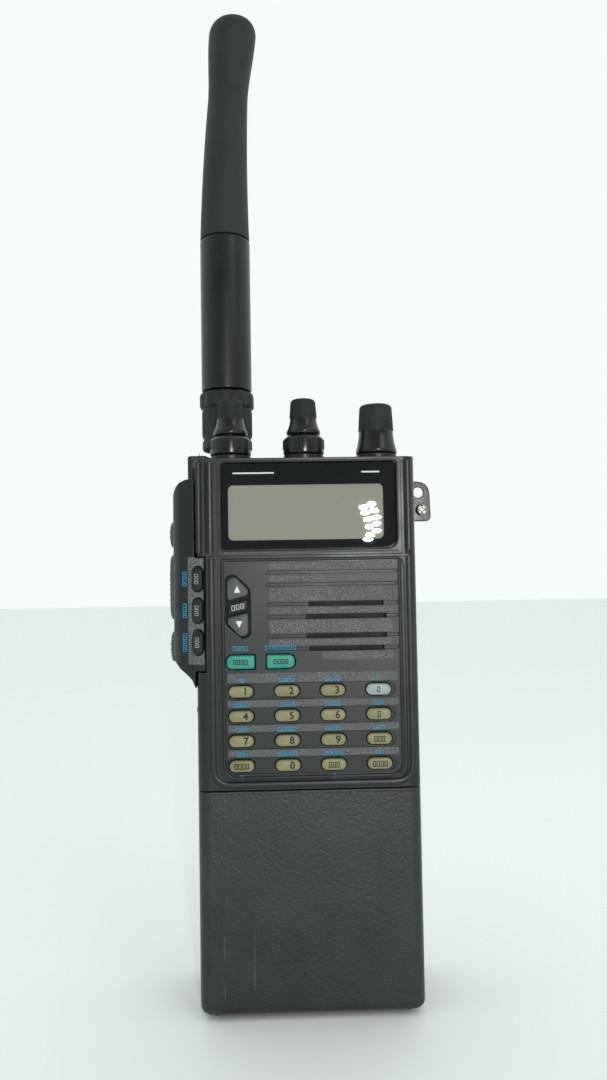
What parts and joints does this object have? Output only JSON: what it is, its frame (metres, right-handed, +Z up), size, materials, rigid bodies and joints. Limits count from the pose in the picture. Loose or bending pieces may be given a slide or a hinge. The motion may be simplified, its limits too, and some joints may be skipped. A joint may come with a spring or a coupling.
{
  "type": "handheld two way radio",
  "caption": "Handheld two way radio with a rubber whip antenna, top knobs, display, key pad, side talk button and a slide-on battery pack.",
  "frame": {"origin": "centre of the battery pack's flat underside, on the radio's centre plane", "axes": "+Z up along the antenna, +X to the right as seen from the front, the front face towards -Y"},
  "size_m": [0.0742, 0.0295, 0.2764],
  "materials": {
    "case_plastic": "moulded black plastic, smooth satin",
    "case_grain": "moulded black plastic with a fine leather grain",
    "trim_gloss": "polished black",
    "display": "greenish grey, matt behind the window",
    "key_cream": "cream olive, satin",
    "key_pale": "pale blue grey, satin",
    "key_green": "sea green, satin",
    "key_grey": "grey green, satin",
    "rubber": "black rubber",
    "board": "green circuit board",
    "cast_metal": "cast, satin",
    "black_metal": "black, satin",
    "plated": "dulled plating",
    "cells": "blue shrink wrap"
  },
  "bodies": {
    "radio": {"base_plate": "case_plastic", "front_case": "case_plastic", "rear_case": "case_grain", "display_window": "trim_gloss", "lcd_panel": "display", "speaker": "cast_metal", "microphone": "cast_metal", "keypad_mat": "rubber", "control_board": "board", "chassis": "cast_metal", "main_board": "board", "side_housing": "case_plastic", "side_board": "board", "top_panel": "case_plastic", "volume_control": "cast_metal", "squelch_control": "cast_metal", "tuning_encoder": "cast_metal", "antenna_jack": "plated", "strap_lug": "black_metal", "strap_screw": "plated"},
    "battery": {"battery_case": "case_grain", "battery_lid": "case_plastic", "cell_pack": "cells"},
    "latch": {"battery_latch": "key_grey"},
    "antenna": {"antenna_sleeve": "rubber", "antenna_whip": "rubber"},
    "antenna_nut": {"antenna_collar": "rubber"},
    "key_1": {"key_1": "key_cream"},
    "key_2": {"key_2": "key_cream"},
    "key_3": {"key_3": "key_cream"},
    "key_function": {"key_function": "key_pale"},
    "key_4": {"key_4": "key_cream"},
    "key_5": {"key_5": "key_cream"},
    "key_6": {"key_6": "key_cream"},
    "key_memory": {"key_memory": "key_cream"},
    "key_7": {"key_7": "key_cream"},
    "key_8": {"key_8": "key_cream"},
    "key_9": {"key_9": "key_cream"},
    "key_enter": {"key_enter": "key_cream"},
    "key_dual": {"key_dual": "key_cream"},
    "key_0": {"key_0": "key_cream"},
    "key_reverse": {"key_reverse": "key_cream"},
    "key_tone": {"key_tone": "key_cream"},
    "key_mhz": {"key_mhz": "key_green"},
    "key_scan": {"key_scan": "key_green"},
    "key_up": {"key_up": "key_grey"},
    "key_sub": {"key_sub": "case_plastic"},
    "key_down": {"key_down": "key_grey"},
    "key_step": {"key_step": "rubber"},
    "key_call": {"key_call": "rubber"},
    "key_mode": {"key_mode": "rubber"},
    "lamp_button": {"lamp_button": "key_grey"},
    "ptt_button": {"ptt_button": "key_grey"},
    "monitor_button": {"monitor_button": "key_grey"},
    "volume_ring": {"volume_ring": "rubber"},
    "volume_knob": {"volume_knob": "rubber"},
    "squelch_ring": {"squelch_ring": "rubber"},
    "squelch_knob": {"squelch_knob": "rubber"},
    "tuning_knob": {"tuning_knob": "rubber"}
  },
  "joints": [
    {"name": "battery_slide", "type": "slide", "parent": "radio", "child": "battery", "axis": [1, 0, 0], "range_m": [0, 0.06]},
    {"name": "latch_press", "type": "slide", "parent": "radio", "child": "latch", "axis": [-1, 0, 0], "range_m": [0, 0.0012], "stiffness_N_per_m": 600},
    {"name": "key_1_press", "type": "slide", "parent": "radio", "child": "key_1", "axis": [0, 1, 0], "range_m": [0, 0.0006], "stiffness_N_per_m": 400},
    {"name": "key_2_press", "type": "slide", "parent": "radio", "child": "key_2", "axis": [0, 1, 0], "range_m": [0, 0.0006], "stiffness_N_per_m": 400},
    {"name": "key_3_press", "type": "slide", "parent": "radio", "child": "key_3", "axis": [0, 1, 0], "range_m": [0, 0.0006], "stiffness_N_per_m": 400},
    {"name": "key_function_press", "type": "slide", "parent": "radio", "child": "key_function", "axis": [0, 1, 0], "range_m": [0, 0.0006], "stiffness_N_per_m": 400},
    {"name": "key_4_press", "type": "slide", "parent": "radio", "child": "key_4", "axis": [0, 1, 0], "range_m": [0, 0.0006], "stiffness_N_per_m": 400},
    {"name": "key_5_press", "type": "slide", "parent": "radio", "child": "key_5", "axis": [0, 1, 0], "range_m": [0, 0.0006], "stiffness_N_per_m": 400},
    {"name": "key_6_press", "type": "slide", "parent": "radio", "child": "key_6", "axis": [0, 1, 0], "range_m": [0, 0.0006], "stiffness_N_per_m": 400},
    {"name": "key_memory_press", "type": "slide", "parent": "radio", "child": "key_memory", "axis": [0, 1, 0], "range_m": [0, 0.0006], "stiffness_N_per_m": 400},
    {"name": "key_7_press", "type": "slide", "parent": "radio", "child": "key_7", "axis": [0, 1, 0], "range_m": [0, 0.0006], "stiffness_N_per_m": 400},
    {"name": "key_8_press", "type": "slide", "parent": "radio", "child": "key_8", "axis": [0, 1, 0], "range_m": [0, 0.0006], "stiffness_N_per_m": 400},
    {"name": "key_9_press", "type": "slide", "parent": "radio", "child": "key_9", "axis": [0, 1, 0], "range_m": [0, 0.0006], "stiffness_N_per_m": 400},
    {"name": "key_enter_press", "type": "slide", "parent": "radio", "child": "key_enter", "axis": [0, 1, 0], "range_m": [0, 0.0006], "stiffness_N_per_m": 400},
    {"name": "key_dual_press", "type": "slide", "parent": "radio", "child": "key_dual", "axis": [0, 1, 0], "range_m": [0, 0.0006], "stiffness_N_per_m": 400},
    {"name": "key_0_press", "type": "slide", "parent": "radio", "child": "key_0", "axis": [0, 1, 0], "range_m": [0, 0.0006], "stiffness_N_per_m": 400},
    {"name": "key_reverse_press", "type": "slide", "parent": "radio", "child": "key_reverse", "axis": [0, 1, 0], "range_m": [0, 0.0006], "stiffness_N_per_m": 400},
    {"name": "key_tone_press", "type": "slide", "parent": "radio", "child": "key_tone", "axis": [0, 1, 0], "range_m": [0, 0.0006], "stiffness_N_per_m": 400},
    {"name": "key_mhz_press", "type": "slide", "parent": "radio", "child": "key_mhz", "axis": [0, 1, 0], "range_m": [0, 0.0006], "stiffness_N_per_m": 400},
    {"name": "key_scan_press", "type": "slide", "parent": "radio", "child": "key_scan", "axis": [0, 1, 0], "range_m": [0, 0.0006], "stiffness_N_per_m": 400},
    {"name": "key_up_press", "type": "slide", "parent": "radio", "child": "key_up", "axis": [0, 1, 0], "range_m": [0, 0.0006], "stiffness_N_per_m": 400},
    {"name": "key_sub_press", "type": "slide", "parent": "radio", "child": "key_sub", "axis": [0, 1, 0], "range_m": [0, 0.0006], "stiffness_N_per_m": 400},
    {"name": "key_down_press", "type": "slide", "parent": "radio", "child": "key_down", "axis": [0, 1, 0], "range_m": [0, 0.0006], "stiffness_N_per_m": 400},
    {"name": "key_step_press", "type": "slide", "parent": "radio", "child": "key_step", "axis": [0.3584, 0.9336, 0], "range_m": [0, 0.0005], "stiffness_N_per_m": 400},
    {"name": "key_call_press", "type": "slide", "parent": "radio", "child": "key_call", "axis": [0.3584, 0.9336, 0], "range_m": [0, 0.0005], "stiffness_N_per_m": 400},
    {"name": "key_mode_press", "type": "slide", "parent": "radio", "child": "key_mode", "axis": [0.3584, 0.9336, 0], "range_m": [0, 0.0005], "stiffness_N_per_m": 400},
    {"name": "lamp_button_press", "type": "slide", "parent": "radio", "child": "lamp_button", "axis": [1, 0, 0], "range_m": [0, 0.0008], "stiffness_N_per_m": 500},
    {"name": "ptt_button_press", "type": "slide", "parent": "radio", "child": "ptt_button", "axis": [1, 0, 0], "range_m": [0, 0.0008], "stiffness_N_per_m": 500},
    {"name": "monitor_button_press", "type": "slide", "parent": "radio", "child": "monitor_button", "axis": [1, 0, 0], "range_m": [0, 0.0008], "stiffness_N_per_m": 500},
    {"name": "volume_ring_turn", "type": "hinge", "parent": "radio", "child": "volume_ring", "pos_m": [-0.0198, -0.0069, 0.148], "axis": [0, 0, 1], "range_deg": [-150, 150]},
    {"name": "volume_knob_turn", "type": "hinge", "parent": "radio", "child": "volume_knob", "pos_m": [-0.0198, -0.0069, 0.148], "axis": [0, 0, 1], "range_deg": [-150, 150]},
    {"name": "squelch_ring_turn", "type": "hinge", "parent": "radio", "child": "squelch_ring", "pos_m": [0, -0.0069, 0.148], "axis": [0, 0, 1], "range_deg": [-150, 150]},
    {"name": "squelch_knob_turn", "type": "hinge", "parent": "radio", "child": "squelch_knob", "pos_m": [0, -0.0069, 0.148], "axis": [0, 0, 1], "range_deg": [-150, 150]},
    {"name": "tuning_knob_turn", "type": "hinge", "parent": "radio", "child": "tuning_knob", "pos_m": [0.0198, -0.0069, 0.15], "axis": [0, 0, 1], "continuous": true},
    {"name": "antenna_pull", "type": "slide", "parent": "radio", "child": "antenna", "axis": [0, 0, 1], "range_m": [0, 0.02]},
    {"name": "antenna_nut_turn", "type": "hinge", "parent": "antenna", "child": "antenna_nut", "pos_m": [-0.0215, 0.0065, 0.155], "axis": [0, 0, 1], "range_deg": [0, 90]}
  ]
}
